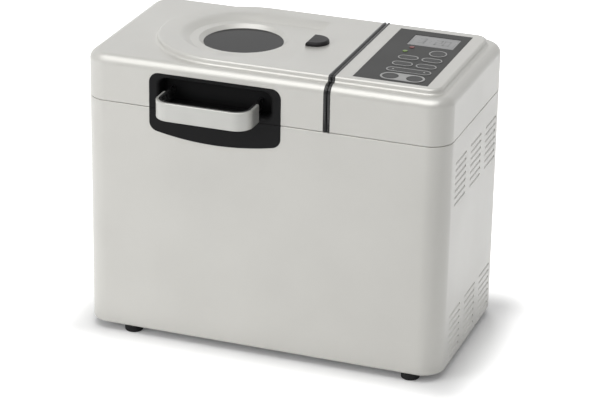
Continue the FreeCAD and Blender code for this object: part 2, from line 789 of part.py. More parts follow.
def make_hinges():
    body_leaves = []
    lid_leaves = []
    pins = []
    half = hinge_knuckle / 2
    for side in (-1, 1):
        x = (lid_end_x - width / 2) / 2 + side * hinge_span / 2
        body_leaves.append(knuckle(x - 3 * half, x - half - hinge_gap, False))
        body_leaves.append(knuckle(x + half + hinge_gap, x + 3 * half, False))
        lid_leaves.append(knuckle(x - half, x + half, True))
        pins.append(Part.makeCylinder(hinge_pin_radius, 3 * hinge_knuckle,
                                      Vector(x - 3 * half, hinge_y, seam_height), Vector(1, 0, 0)))
    export("hinge_body_leaves", *body_leaves)
    export("hinge_lid_leaves", *lid_leaves)
    export("hinge_pins", *pins)


def knuckle(x0, x1, up):
    axis = Vector(1, 0, 0)
    barrel = Part.makeCylinder(hinge_barrel_radius, x1 - x0, Vector(x0, hinge_y, seam_height), axis)
    start = seam_height + fit if up else seam_height - hinge_leaf_height
    end = seam_height + hinge_leaf_height if up else seam_height - fit
    leaf = box(x0, x1, rear_y, rear_y + hinge_leaf_thickness, start, end)
    web_start = start if up else seam_height - hinge_pin_radius
    web_end = seam_height + hinge_pin_radius if up else end
    web = box(x0, x1, rear_y, hinge_y, web_start, web_end)
    bore_radius = hinge_pin_radius + shaft_play if up else hinge_pin_radius
    bore = Part.makeCylinder(bore_radius, x1 - x0, Vector(x0, hinge_y, seam_height), axis)
    return barrel.fuse([leaf, web]).removeSplitter().cut(bore)


def make_oven():
    half = oven_depth / 2
    outer = rounded_box(oven_x0, oven_x1, -half, half, oven_floor, flange_top, oven_corner)
    inner = rounded_box(oven_x0 + oven_wall, oven_x1 - oven_wall, -half + oven_wall, half - oven_wall,
                        oven_floor + oven_wall, flange_top + 1, oven_corner - oven_wall)
    flange = rounded_box(oven_x0 - oven_flange, oven_x1 + oven_flange,
                         -half - oven_flange, half + oven_flange,
                         deck_top, flange_top, oven_corner + oven_flange)
    shaft_hole = rod(bearing_radius + fit / 2, oven_x, 0, 0, pan_bottom)
    wall_start = oven_x1 - 2 * oven_wall
    probe = Part.makeCylinder(probe_radius + fit / 2, 4 * oven_wall,
                              Vector(wall_start, probe_y, probe_z), Vector(1, 0, 0))
    tails = [Part.makeCylinder(heater_radius + fit, 4 * oven_wall,
                               Vector(wall_start, side * heater_tail_y, heater_z), Vector(1, 0, 0))
             for side in (-1, 1)]
    chamber = outer.fuse(flange).cut(inner).cut(shaft_hole).cut(probe).cut(Part.makeCompound(tails))
    export("oven_chamber", chamber.removeSplitter())
    sensor = Part.makeCylinder(probe_radius, probe_length,
                               Vector(oven_x1 - probe_inside, probe_y, probe_z), Vector(1, 0, 0))
    collar = Part.makeCylinder(2 * probe_radius, probe_radius, Vector(oven_x1, probe_y, probe_z),
                               Vector(1, 0, 0))
    export("temperature_sensor", sensor.fuse(collar).removeSplitter())
    ring_inner = pan_ring_radius + running_clearance
    clip = tube(ring_inner + clip_ring_wall, ring_inner, oven_x, 0, oven_floor + oven_wall,
                oven_floor + oven_wall + clip_ring_height)
    export("pan_socket", clip)
    make_heater(half)


def make_heater(half):
    inset = oven_wall + heater_margin
    x0 = oven_x0 + inset
    x1 = oven_x1 - inset
    y = half - inset
    tail = heater_tail_y
    out = oven_x1 + heater_tail_length
    z = heater_z
    points = [Vector(out, -tail, z), Vector(x1, -tail, z), Vector(x1, -y, z), Vector(x0, -y, z),
              Vector(x0, y, z), Vector(x1, y, z), Vector(x1, tail, z), Vector(out, tail, z)]
    radii = [0, heater_tail_bend] + 4 * [heater_bend] + [heater_tail_bend, 0]
    export("heating_element", sweep(bent_path(points, radii), heater_radius, points[0], Vector(-1, 0, 0)))
    clips = []
    half_clip = heater_clip / 2
    for x, middle in ((x0, 0), (oven_x, -y), (oven_x, y)):
        clips.append(box(x - half_clip, x + half_clip, middle - half_clip, middle + half_clip,
                         oven_floor + oven_wall, z - heater_radius))
    export("heater_supports", *clips)
    blocks = []
    for side in (-1, 1):
        start = Vector(out - terminal_length, side * tail, z)
        block = Part.makeCylinder(heater_radius + terminal_wall, terminal_length, start, Vector(1, 0, 0))
        blocks.append(block.cut(Part.makeCylinder(heater_radius, terminal_length, start, Vector(1, 0, 0))))
    export("heater_terminals", *blocks)


# A path of straight runs joined by tangent arcs
def bent_path(points, radii):
    edges = []
    last = points[0]
    for i in range(1, len(points) - 1):
        before = (points[i - 1] - points[i]).normalize()
        after = (points[i + 1] - points[i]).normalize()
        half_turn = before.getAngle(after) / 2
        run = radii[i] / math.tan(half_turn)
        start = points[i] + before * run
        end = points[i] + after * run
        bisector = (before + after).normalize()
        middle = points[i] + bisector * (radii[i] / math.sin(half_turn) - radii[i])
        edges.append(Part.makeLine(last, start))
        edges.append(Part.Arc(start, middle, end).toShape())
        last = end
    edges.append(Part.makeLine(last, points[-1]))
    return Part.Wire(edges)


def sweep(path, radius, start, direction):
    section = Part.Wire([Part.makeCircle(radius, start, direction)])
    return path.makePipeShell([section], True, False)


def make_pan():
    x0 = oven_x - pan_width / 2
    x1 = oven_x + pan_width / 2
    half = pan_depth / 2
    outer = rounded_box(x0, x1, -half, half, pan_bottom, pan_rim, pan_corner)
    outer = outer.makeFillet(pan_bottom_radius, level_edges(outer, pan_bottom))
    inner = rounded_box(x0 + pan_wall, x1 - pan_wall, -half + pan_wall, half - pan_wall,
                        pan_bottom + pan_wall, pan_rim + 1, pan_corner - pan_wall)
    inner = inner.makeFillet(pan_bottom_radius - pan_wall, level_edges(inner, pan_bottom + pan_wall))
    rim = rounded_box(x0 - pan_rim_width, x1 + pan_rim_width, -half - pan_rim_width, half + pan_rim_width,
                      pan_rim - pan_rim_height, pan_rim, pan_corner + pan_rim_width)
    pan = outer.fuse(rim).cut(inner)
    for x in (x0 - ear_thickness, x1):
        ear = box(x, x + ear_thickness, -ear_width / 2, ear_width / 2,
                  pan_rim - ear_length, bail_z + ear_width / 2)
        hole = Part.makeCylinder(bail_wire + pin_play, 3 * ear_thickness,
                                 Vector(x - ear_thickness, 0, bail_z), Vector(1, 0, 0))
        pan = pan.fuse(ear).cut(hole)
    bush_hole = rod(bush_radius, oven_x, 0, 0, pan_bottom + pan_bottom_radius)
    export("bread_pan", pan.removeSplitter().cut(bush_hole))
    ring = tube(pan_ring_radius, pan_ring_radius - pan_ring_wall, oven_x, 0,
                oven_floor + oven_wall + fit, pan_bottom)
    export("pan_base_ring", ring)
    bush = rod(bush_radius, oven_x, 0, pan_bottom, pan_bottom + pan_wall)
    bush = bush.fuse(rod(bush_radius + bush_flange, oven_x, 0, pan_bottom - bush_flange, pan_bottom))
    bush = bush.removeSplitter()
    export("pan_bushing", bush.cut(rod(pan_shaft_radius + shaft_play, oven_x, 0, 0, reach)))
    out = pan_width / 2 + ear_thickness + bail_side_gap + bail_wire
    inside = pan_width / 2 - pan_wall
    points = [Vector(oven_x - inside, 0, bail_z), Vector(oven_x - out, 0, bail_z),
              Vector(oven_x - out, bail_arm, bail_z), Vector(oven_x + out, bail_arm, bail_z),
              Vector(oven_x + out, 0, bail_z), Vector(oven_x + inside, 0, bail_z)]
    bend = bail_wire + fit
    path = bent_path(points, [0, bend, bail_bend, bail_bend, bend, 0])
    export("pan_bail", sweep(path, bail_wire, points[0], Vector(-1, 0, 0)))


def make_drive():
    shaft = rod(drive_shaft_radius, oven_x, 0, pulley_low - pulley_flange_height, coupler_low)
    export("drive_shaft", shaft)
    disc = rod(coupler_radius, oven_x, 0, coupler_low, dog_low)
    lug_half = coupler_radius - dog_inset
    lug = box(oven_x - lug_half, oven_x + lug_half, -lug_half, lug_half, dog_low, dog_low + dog_height)
    lug = lug.common(rod(coupler_radius, oven_x, 0, 0, reach))
    slot = dog_width / 2 + dog_play
    lugs = lug.cut(box(-reach, reach, -slot, slot, 0, reach))
    lugs = lugs.cut(rod(pan_shaft_radius + dog_width / 2 + dog_play, oven_x, 0, dog_low, reach))
    export("drive_coupler", disc.fuse(lugs).removeSplitter())
    pulley = flanged_wheel(pulley_radius, oven_x).cut(rod(drive_shaft_radius, oven_x, 0, 0, reach))
    lighten = []
    for i in range(pulley_holes):
        angle = 2 * math.pi * i / pulley_holes
        lighten.append(rod(pulley_hole_radius, oven_x + pulley_hole_circle * math.cos(angle),
                           pulley_hole_circle * math.sin(angle), 0, reach))
    export("large_pulley", pulley.cut(Part.makeCompound(lighten)))
    housing = rod(bearing_radius, oven_x, 0, pulley_high + bearing_gap, oven_floor)
    collar = rod(bearing_radius + bearing_flange, oven_x, 0, oven_floor - bearing_flange_height, oven_floor)
    housing = housing.fuse(collar).removeSplitter()
    export("bearing_housing", housing.cut(rod(drive_shaft_radius + shaft_play, oven_x, 0, 0, reach)))
    top = paddle_low + paddle_height
    half_dog = dog_width / 2
    shaft = rod(pan_shaft_radius, oven_x, 0, dog_low + dog_end_gap, top - paddle_lift)
    dog = box(oven_x - dog_length / 2, oven_x + dog_length / 2, -half_dog, half_dog,
              dog_low + dog_end_gap, dog_low + dog_height - dog_end_gap)
    export("pan_shaft", shaft.fuse(dog).removeSplitter())
    hub = rod(paddle_hub_radius, oven_x, 0, paddle_low, top)
    half = paddle_blade / 2
    end = oven_x + paddle_reach
    blade = box(oven_x, end, -half, half, paddle_low, top - paddle_blade_drop)
    toe = box(end - paddle_toe, end, -half, half, paddle_low, top + paddle_toe_rise)
    paddle = hub.fuse([blade, toe]).removeSplitter()
    export("kneading_paddle", paddle.cut(rod(pan_shaft_radius, oven_x, 0, 0, top - paddle_lift)))


# A belt wheel with a low flange at each end
def flanged_wheel(radius, x):
    wheel = rod(radius, x, 0, pulley_low, pulley_high)
    for z in (pulley_low + pulley_flange_overlap - pulley_flange_height, pulley_high - pulley_flange_overlap):
        wheel = wheel.fuse(rod(radius + pulley_flange, x, 0, z, z + pulley_flange_height))
    return wheel.removeSplitter()


def make_motor():
    bracket_top = pulley_high + bracket_gap
    bracket_low = bracket_top - bracket_thickness
    size = motor_radius + bracket_margin
    half_leg = bracket_leg / 2
    bracket = box(motor_x - size, motor_x + size, -size, size, bracket_low, bracket_top)
    for sx in (-1, 1):
        for sy in (-1, 1):
            x = motor_x + sx * (size - half_leg)
            y = sy * (size - half_leg)
            leg = box(x - half_leg, x + half_leg, y - half_leg, y + half_leg, base_top, bracket_low)
            bracket = bracket.fuse(leg)
    bore = rod(motor_shaft_radius + bracket_thickness, motor_x, 0, 0, reach)
    export("motor_bracket", bracket.removeSplitter().cut(bore))
    can = rod(motor_radius, motor_x, 0, bracket_top, bracket_top + motor_height)
    can = can.makeFillet(motor_edge, level_edges(can, bracket_top + motor_height))
    shaft_top = bracket_top + motor_shaft_depth
    export("motor_body", can.cut(rod(motor_shaft_radius + shaft_play, motor_x, 0, 0, shaft_top)))
    export("motor_shaft", rod(motor_shaft_radius, motor_x, 0, pulley_low - pulley_flange_height,
                              shaft_top - running_clearance))
    pinion = flanged_wheel(pinion_radius, motor_x)
    export("motor_pulley", pinion.cut(rod(motor_shaft_radius, motor_x, 0, 0, reach)))
    low = pulley_low + pulley_flange_overlap + belt_edge_gap
    high = pulley_high - pulley_flange_overlap - belt_edge_gap
    outer = belt_loop(belt_play + belt_thickness, low, high)
    export("drive_belt", outer.cut(belt_loop(belt_play, low - 1, high + 1)))


def make_power_board():
    low = foot_height + power_board_lift
    high = low + power_board_height
    half = power_board_width / 2
    back = rear_y - wall - power_board_gap
    front = back - board_thickness
    board = box(motor_x - half, motor_x + half, front, back, low, high)
    stands = []
    for side in (-1, 1):
        for z in (low + standoff_inset, high - standoff_inset):
            start = Vector(motor_x + side * (half - standoff_inset), back, z)
            stands.append(Part.makeCylinder(standoff_radius, power_board_gap, start, Vector(0, 1, 0)))
    left = motor_x - half + component_inset
    right = motor_x + half - component_inset
    bottom = low + component_lift
    transformer = box(left, left + transformer_size, front - transformer_depth, front,
                      bottom, bottom + transformer_size)
    relay = box(right - relay_width, right, front - relay_depth, front, bottom, bottom + relay_height)
    seat = Vector(motor_x + capacitor_x, front, high - capacitor_drop)
    capacitor = Part.makeCylinder(capacitor_radius, capacitor_length, seat, Vector(0, -1, 0))
    export("power_board", board, *stands, transformer, relay, capacitor)


def belt_loop(grow, z0, z1):
    big = pulley_radius + grow
    small = pinion_radius + grow
    span = motor_x - oven_x
    lean = math.asin((big - small) / span)
    s, c = math.sin(lean), math.cos(lean)
    start = Vector(oven_x + big * s, big * c, z0)
    end = Vector(motor_x + small * s, small * c, z0)
    mirror_end = Vector(end.x, -end.y, z0)
    mirror_start = Vector(start.x, -start.y, z0)
    edges = [Part.makeLine(start, end), Part.Arc(end, Vector(motor_x + small, 0, z0), mirror_end).toShape(),
             Part.makeLine(mirror_end, mirror_start),
             Part.Arc(mirror_start, Vector(oven_x - big, 0, z0), start).toShape()]
    return Part.Face(Part.Wire(edges)).extrude(Vector(0, 0, z1 - z0))


make_lid()
make_head()
make_keys()
make_casing()
make_grip()
make_window()
make_liner()
make_hinges()
make_oven()
make_pan()
make_drive()
make_motor()
make_power_board()
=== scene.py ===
import json
import math
import bpy
import numpy as np
from mathutils import Euler, Matrix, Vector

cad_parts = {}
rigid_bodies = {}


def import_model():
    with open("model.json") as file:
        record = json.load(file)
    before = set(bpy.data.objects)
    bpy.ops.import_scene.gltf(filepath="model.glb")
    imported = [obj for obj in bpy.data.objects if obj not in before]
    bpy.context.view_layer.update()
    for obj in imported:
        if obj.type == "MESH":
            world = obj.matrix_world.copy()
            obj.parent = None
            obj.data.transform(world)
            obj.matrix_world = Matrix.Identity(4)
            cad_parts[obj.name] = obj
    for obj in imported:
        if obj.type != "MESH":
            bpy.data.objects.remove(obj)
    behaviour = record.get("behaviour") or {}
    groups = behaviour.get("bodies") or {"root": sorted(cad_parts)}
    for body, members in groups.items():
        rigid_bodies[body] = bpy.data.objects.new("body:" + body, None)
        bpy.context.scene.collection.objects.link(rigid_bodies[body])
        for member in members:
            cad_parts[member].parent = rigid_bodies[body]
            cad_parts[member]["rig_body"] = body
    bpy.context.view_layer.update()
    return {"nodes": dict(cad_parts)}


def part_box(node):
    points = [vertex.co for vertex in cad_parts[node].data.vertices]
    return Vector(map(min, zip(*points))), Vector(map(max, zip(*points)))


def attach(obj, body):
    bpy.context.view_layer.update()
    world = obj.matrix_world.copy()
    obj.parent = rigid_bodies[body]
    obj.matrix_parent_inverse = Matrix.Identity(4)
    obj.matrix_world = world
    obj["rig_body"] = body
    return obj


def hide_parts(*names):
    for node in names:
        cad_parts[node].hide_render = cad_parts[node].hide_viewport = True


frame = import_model()
nodes = frame["nodes"]
mm = 0.001
print("frame loaded:", len(nodes), "nodes")

caseLow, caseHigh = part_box("casing")
lidLow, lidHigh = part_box("lid_shell")
keyNames = ["start_key", "stop_key", "timer_key", "hour_key", "minute_key", "crust_key", "size_key",
            "program_key"]


# shader groups: each puts out values that change over the surface

def newGroup(name, inputs, outputs):
    group = bpy.data.node_groups.new(name, "ShaderNodeTree")
    for label, kind, value in inputs:
        socket = group.interface.new_socket(label, in_out="INPUT", socket_type=kind)
        socket.default_value = value
    for label, kind in outputs:
        group.interface.new_socket(label, in_out="OUTPUT", socket_type=kind)
    start = group.nodes.new("NodeGroupInput")
    end = group.nodes.new("NodeGroupOutput")
    return group, start, end


def addNoise(group, start, scaleLabel, detail, vector):
    noise = group.nodes.new("ShaderNodeTexNoise")
    noise.inputs["Detail"].default_value = detail
    group.links.new(vector, noise.inputs["Vector"])
    group.links.new(start.outputs[scaleLabel], noise.inputs["Scale"])
    return noise


def addRange(group, value, low, high, fromLow, fromHigh):
    spread = group.nodes.new("ShaderNodeMapRange")
    spread.inputs["From Min"].default_value = fromLow
    spread.inputs["From Max"].default_value = fromHigh
    group.links.new(value, spread.inputs["Value"])
    group.links.new(low, spread.inputs["To Min"])
    group.links.new(high, spread.inputs["To Max"])
    return spread.outputs["Result"]


def addMix(group, factor, first, second):
    mix = group.nodes.new("ShaderNodeMix")
    mix.data_type = "RGBA"
    group.links.new(factor, mix.inputs["Factor"])
    group.links.new(first, mix.inputs["A"])
    group.links.new(second, mix.inputs["B"])
    return mix.outputs["Result"]


# how much fine grain joins the broad cloud, and the span of their sum
grainMix = dict(fineShare=0.35, low=0.45, high=0.9)


# broad cloudiness in colour, fine grain in gloss and height
def makeGrainGroup(name, stretch):
    inputs = [("Base", "NodeSocketColor", (0.5, 0.5, 0.5, 1)),
              ("Shade", "NodeSocketColor", (0.4, 0.4, 0.4, 1)),
              ("Fine Scale", "NodeSocketFloat", 900.0), ("Broad Scale", "NodeSocketFloat", 14.0),
              ("Rough Low", "NodeSocketFloat", 0.3), ("Rough High", "NodeSocketFloat", 0.4)]
    outputs = [("Color", "NodeSocketColor"), ("Roughness", "NodeSocketFloat"), ("Height", "NodeSocketFloat")]
    group, start, end = newGroup(name, inputs, outputs)
    place = group.nodes.new("ShaderNodeTexCoord")
    turn = group.nodes.new("ShaderNodeMapping")
    turn.inputs["Scale"].default_value = stretch
    group.links.new(place.outputs["Object"], turn.inputs["Vector"])
    fine = addNoise(group, start, "Fine Scale", 2.0, turn.outputs["Vector"])
    broad = addNoise(group, start, "Broad Scale", 4.0, place.outputs["Object"])
    both = group.nodes.new("ShaderNodeMath")
    both.operation = "MULTIPLY_ADD"
    both.inputs[1].default_value = grainMix["fineShare"]
    group.links.new(fine.outputs["Fac"], both.inputs[0])
    group.links.new(broad.outputs["Fac"], both.inputs[2])
    cloud = group.nodes.new("ShaderNodeMapRange")
    cloud.inputs["From Min"].default_value = grainMix["low"]
    cloud.inputs["From Max"].default_value = grainMix["high"]
    group.links.new(both.outputs["Value"], cloud.inputs["Value"])
    color = addMix(group, cloud.outputs["Result"], start.outputs["Base"], start.outputs["Shade"])
    rough = addRange(group, both.outputs["Value"], start.outputs["Rough Low"], start.outputs["Rough High"],
                     grainMix["low"], grainMix["high"])
    group.links.new(color, end.inputs["Color"])
    group.links.new(rough, end.inputs["Roughness"])
    group.links.new(fine.outputs["Fac"], end.inputs["Height"])
    return group


grain = makeGrainGroup("mouldedGrain", (1, 1, 1))
brushed = makeGrainGroup("brushedGrain", (0.03, 1, 1))

coatRoughness = 0.19

# finish of each material: base and shade colours, roughness range, metal, grain sizes and relief
finishes = {
    "pearlPaint": dict(base=(0.615, 0.607, 0.573), shade=(0.580, 0.572, 0.540), rough=(0.32, 0.40), metal=0.2,
                       fine=2600, broad=9, relief=0.012, coat=0.32),
    "blackMoulding": dict(base=(0.008, 0.008, 0.0085), shade=(0.013, 0.013, 0.0135), rough=(0.42, 0.55),
                          fine=1500, broad=20, relief=0.05, specular=0.10),
    "blackRail": dict(base=(0.004, 0.004, 0.0045), shade=(0.008, 0.008, 0.0085), rough=(0.07, 0.12),
                      fine=1800, broad=25, relief=0.01, specular=0.5),
    "gripCore": dict(base=(0.024, 0.024, 0.0245), shade=(0.034, 0.034, 0.0345), rough=(0.22, 0.32),
                     fine=1600, broad=30, relief=0.02, specular=0.5),
    "silverGrip": dict(base=(0.545, 0.545, 0.518), shade=(0.50, 0.50, 0.475), rough=(0.28, 0.36), metal=0.3,
                       fine=2600, broad=14, relief=0.012, coat=0.3),
    "ventGrey": dict(base=(0.017, 0.0160, 0.017), shade=(0.025, 0.0235, 0.025), rough=(0.30, 0.42),
                     fine=1400, broad=40, relief=0.03, specular=0.12),
    "panelFilm": dict(base=(0.040, 0.040, 0.039), shade=(0.052, 0.052, 0.051), rough=(0.36, 0.46),
                      fine=1600, broad=18, relief=0.02, specular=0.12),
    "keyCap": dict(base=(0.045, 0.045, 0.045), shade=(0.060, 0.060, 0.059), rough=(0.34, 0.46),
                   fine=1400, broad=60, relief=0.03, specular=0.15),
    "keyOutline": dict(base=(0.36, 0.36, 0.355), shade=(0.30, 0.30, 0.295), rough=(0.28, 0.38), metal=0.4,
                       fine=1800, broad=60, relief=0.01),
    "displayGlass": dict(base=(0.335, 0.337, 0.337), shade=(0.305, 0.307, 0.307), rough=(0.12, 0.2),
                         fine=1200, broad=40, relief=0.004, specular=0.3),
    "segmentInk": dict(base=(0.272, 0.274, 0.274), shade=(0.262, 0.264, 0.264), rough=(0.2, 0.3),
                       fine=1200, broad=60, relief=0.0, specular=0.3),
    "printInk": dict(base=(0.50, 0.50, 0.49), shade=(0.44, 0.44, 0.43), rough=(0.45, 0.55),
                     fine=2000, broad=60, relief=0.01),
    "redLens": dict(base=(0.22, 0.030, 0.030), shade=(0.17, 0.025, 0.025), rough=(0.15, 0.25),
                    fine=900, broad=80, relief=0.01, specular=0.3),
    "greenLens": dict(base=(0.17, 0.28, 0.05), shade=(0.14, 0.23, 0.04), rough=(0.15, 0.25),
                      fine=900, broad=80, relief=0.01, specular=0.3),
    "footRubber": dict(base=(0.008, 0.008, 0.009), shade=(0.016, 0.016, 0.016), rough=(0.6, 0.75),
                       fine=1100, broad=50, relief=0.08, specular=0.2),
    "linerSteel": dict(base=(0.56, 0.56, 0.55), shade=(0.48, 0.48, 0.47), rough=(0.26, 0.40), metal=0.9,
                       fine=700, broad=12, relief=0.03, lines=True),
    "plainSteel": dict(base=(0.50, 0.50, 0.50), shade=(0.40, 0.40, 0.40), rough=(0.25, 0.40), metal=0.95,
                       fine=900, broad=30, relief=0.03, lines=True),
    "elementSteel": dict(base=(0.20, 0.18, 0.165), shade=(0.10, 0.09, 0.085), rough=(0.40, 0.60), metal=0.8,
                         fine=700, broad=40, relief=0.05),
    "panCoating": dict(base=(0.045, 0.045, 0.047), shade=(0.065, 0.065, 0.067), rough=(0.38, 0.52), metal=0.1,
                       fine=1100, broad=20, relief=0.04),
    "bushBrass": dict(base=(0.52, 0.38, 0.15), shade=(0.42, 0.30, 0.12), rough=(0.25, 0.38), metal=0.95,
                      fine=900, broad=60, relief=0.02),
    "whiteMoulding": dict(base=(0.62, 0.61, 0.57), shade=(0.54, 0.53, 0.49), rough=(0.40, 0.55),
                          fine=1200, broad=30, relief=0.03),
    "boardGreen": dict(base=(0.03, 0.13, 0.05), shade=(0.022, 0.10, 0.04), rough=(0.35, 0.5),
                       fine=1400, broad=60, relief=0.03),
}


def makeFinish(name, look):
    material = bpy.data.materials.new(name)
    material.use_nodes = True
    tree = material.node_tree
    shader = tree.nodes["Principled BSDF"]
    shader.inputs["Metallic"].default_value = look.get("metal", 0.0)
    shader.inputs["Specular IOR Level"].default_value = look.get("specular", 0.5)
    shader.inputs["Coat Weight"].default_value = look.get("coat", 0.0)
    shader.inputs["Coat Roughness"].default_value = coatRoughness
    pattern = tree.nodes.new("ShaderNodeGroup")
    pattern.node_tree = brushed if look.get("lines") else grain
    pattern.inputs["Base"].default_value = (*look["base"], 1)
    pattern.inputs["Shade"].default_value = (*look["shade"], 1)
    pattern.inputs["Fine Scale"].default_value = look["fine"]
    pattern.inputs["Broad Scale"].default_value = look["broad"]
    pattern.inputs["Rough Low"].default_value = look["rough"][0]
    pattern.inputs["Rough High"].default_value = look["rough"][1]
    tree.links.new(pattern.outputs["Color"], shader.inputs["Base Color"])
    tree.links.new(pattern.outputs["Roughness"], shader.inputs["Roughness"])
    if look["relief"] > 0:
        bump = tree.nodes.new("ShaderNodeBump")
        bump.inputs["Strength"].default_value = look["relief"]
        bump.inputs["Distance"].default_value = mm
        tree.links.new(pattern.outputs["Height"], bump.inputs["Height"])
        tree.links.new(bump.outputs["Normal"], shader.inputs["Normal"])
    return material


materials = {name: makeFinish(name, look) for name, look in finishes.items()}


smokedGlass = dict(base=(0.006, 0.006, 0.0065), shade=(0.010, 0.010, 0.0105), rough=(0.05, 0.09),
                   fine=300, broad=20, relief=0.0, specular=0.11, ior=1.4, seeThrough=0.25)


def makeSmokedGlass():
    material = makeFinish("smokedGlass", smokedGlass)
    shader = material.node_tree.nodes["Principled BSDF"]
    shader.inputs["IOR"].default_value = smokedGlass["ior"]
    shader.inputs["Transmission Weight"].default_value = smokedGlass["seeThrough"]
    return material


materials["smokedGlass"] = makeSmokedGlass()
print("finishes ready:", len(materials))


# every node's finish, by the piece it belongs to
finishOf = {
    "pearlPaint": ["casing", "lid_shell", "control_housing"],
    "blackMoulding": ["grip_recess", "grip_lower_plate", "base_plate", "cord_gland", "top_deck",
                      "bearing_housing"],
    "blackRail": ["lid_edge_plate", "head_edge_plate"],
    "gripCore": ["handle_core"],
    "silverGrip": ["handle_cover"],
    "ventGrey": ["steam_vent_cap"],
    "panelFilm": ["control_plate"],
    "keyCap": keyNames,
    "keyOutline": ["key_surrounds"],
    "displayGlass": ["display_module"],
    "redLens": ["red_lamp"],
    "greenLens": ["green_lamp"],
    "footRubber": ["feet", "drive_belt", "lid_gasket"],
    "smokedGlass": ["window_glass"],
    "linerSteel": ["lid_liner", "oven_chamber", "window_ring"],
    "plainSteel": ["base_screws", "lid_screws", "hinge_body_leaves", "hinge_lid_leaves", "hinge_pins",
                   "pan_bail", "pan_shaft", "drive_shaft", "motor_shaft", "motor_bracket", "heater_supports",
                   "temperature_sensor", "pan_socket", "motor_body"],
    "elementSteel": ["heating_element"],
    "panCoating": ["bread_pan", "kneading_paddle", "pan_base_ring"],
    "bushBrass": ["pan_bushing"],
    "whiteMoulding": ["large_pulley", "drive_coupler", "motor_pulley", "heater_terminals", "key_switches"],
    "boardGreen": ["control_board", "power_board"],
}
nodeFinish = {node: finish for finish, members in finishOf.items() for node in members}

for nodeName, nodeObject in nodes.items():
    nodeObject.data.materials.clear()
    nodeObject.data.materials.append(materials[nodeFinish[nodeName]])


def addPiece(name, points, faces, finish, body, smooth=True):
    mesh = bpy.data.meshes.new(name)
    mesh.from_pydata(points.tolist(), [], faces)
    mesh.polygons.foreach_set("use_smooth", np.full(len(mesh.polygons), smooth))
    mesh.materials.append(materials[finish])
    piece = bpy.data.objects.new(name, mesh)
    bpy.context.scene.collection.objects.link(piece)
    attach(piece, body)
    return piece


# smooth skin: the node's own points merged, with round faces shaded across and edges kept sharp
skinLook = dict(sharpAngle=32, mergeStep=0.002 * mm)


def addSkin(nodeName):
    source = nodes[nodeName].data
    points = np.empty(len(source.vertices) * 3)
    source.vertices.foreach_get("co", points)
    points = points.reshape(-1, 3)
    corners = np.empty(len(source.loops), dtype=np.int64)
    source.loops.foreach_get("vertex_index", corners)
    steps = np.round(points / skinLook["mergeStep"]).astype(np.int64)
    _, first, merged = np.unique(steps, axis=0, return_index=True, return_inverse=True)
    faces = merged.ravel()[corners].reshape(-1, 3)
    whole = (faces[:, 0] != faces[:, 1]) & (faces[:, 1] != faces[:, 2]) & (faces[:, 0] != faces[:, 2])
    skin = addPiece(nodeName + "_skin", points[first], faces[whole].tolist(), nodeFinish[nodeName],
                    nodes[nodeName]["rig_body"])
    skin.data.set_sharp_from_angle(angle=math.radians(skinLook["sharpAngle"]))
    weighted = skin.modifiers.new("faceWeight", "WEIGHTED_NORMAL")
    weighted.keep_sharp = True
    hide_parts(nodeName)
    return skin


skinNodes = ["casing", "lid_shell", "control_housing", "lid_edge_plate", "head_edge_plate", "handle_cover",
             "handle_core", "grip_recess", "grip_lower_plate", "steam_vent_cap", "window_glass", "window_ring",
             "feet", "key_surrounds", "lid_liner", "oven_chamber", "bread_pan", "pan_bail", "heating_element",
             "kneading_paddle", "lid_gasket", "hinge_body_leaves", "hinge_lid_leaves", "red_lamp",
             "green_lamp"] + keyNames
for nodeName in skinNodes:
    addSkin(nodeName)
print("skins:", len(skinNodes))


# quads between neighbouring rings of a closed section, and one polygon over each end ring
def sectionFaces(rings, around):
    ring, spot = np.meshgrid(np.arange(rings - 1), np.arange(around), indexing="ij")
    nextSpot = (spot + 1) % around
    quads = np.stack([ring * around + spot, (ring + 1) * around + spot,
                      (ring + 1) * around + nextSpot, ring * around + nextSpot], axis=-1)
    firstEnd = np.arange(around)
    lastEnd = (rings - 1) * around + np.arange(around)[::-1]
    return quads.reshape(-1, 4).tolist() + [firstEnd.tolist(), lastEnd.tolist()]


# arc in the YZ plane from one angle to another, in degrees
def arcPoints(centerY, centerZ, radius, fromAngle, toAngle, count=9):
    angle = np.radians(np.linspace(fromAngle, toAngle, count))
    return np.stack([centerY + radius * np.cos(angle), centerZ + radius * np.sin(angle)], axis=1)


# rail bead: a flattened round carried over the lid's section, front face to rear face
railBead = dict(radius=1.1 * mm, shoulderRadius=10.5 * mm, shoulderDrop=6.7 * mm, plateauInset=15 * mm,
                edgeRadius=3 * mm, flatness=0.8, around=12)


def railPath():
    frontY, rearY = lidLow.y, lidHigh.y
    top = lidHigh.z
    shoulder = top - railBead["shoulderDrop"]
    r = railBead["shoulderRadius"]
    e = railBead["edgeRadius"]
    inset = railBead["plateauInset"]
    front = [np.array([[frontY, lidLow.z]]), arcPoints(frontY + r, shoulder - r, r, 180, 90),
             arcPoints(frontY + inset - e, shoulder + e, e, 270, 360),
             arcPoints(frontY + inset + e, top - e, e, 180, 90)]
    front = np.concatenate(front)
    rear = front[::-1].copy()
    rear[:, 0] = frontY + rearY - rear[:, 0]
    return np.concatenate([front, rear])


# circle of the bead turned along the path's tangent at each point
def addRailBead(name, centerX, body):
    path = railPath()
    tangent = np.gradient(path, axis=0)
    tangent /= np.linalg.norm(tangent, axis=1)[:, None]
    outward = np.stack([-tangent[:, 1], tangent[:, 0]], axis=1)
    angle = np.linspace(0, 2 * math.pi, railBead["around"], endpoint=False)
    side = np.cos(angle)[None, :] * railBead["radius"]
    rise = np.sin(angle)[None, :] * railBead["radius"] * railBead["flatness"]
    y = path[:, 0:1] + outward[:, 0:1] * rise
    z = path[:, 1:2] + outward[:, 1:2] * rise
    x = centerX + side + np.zeros_like(y)
    points = np.stack([x, y, z], axis=-1).reshape(-1, 3)
    return addPiece(name, points, sectionFaces(len(path), railBead["around"]), "blackRail", body)


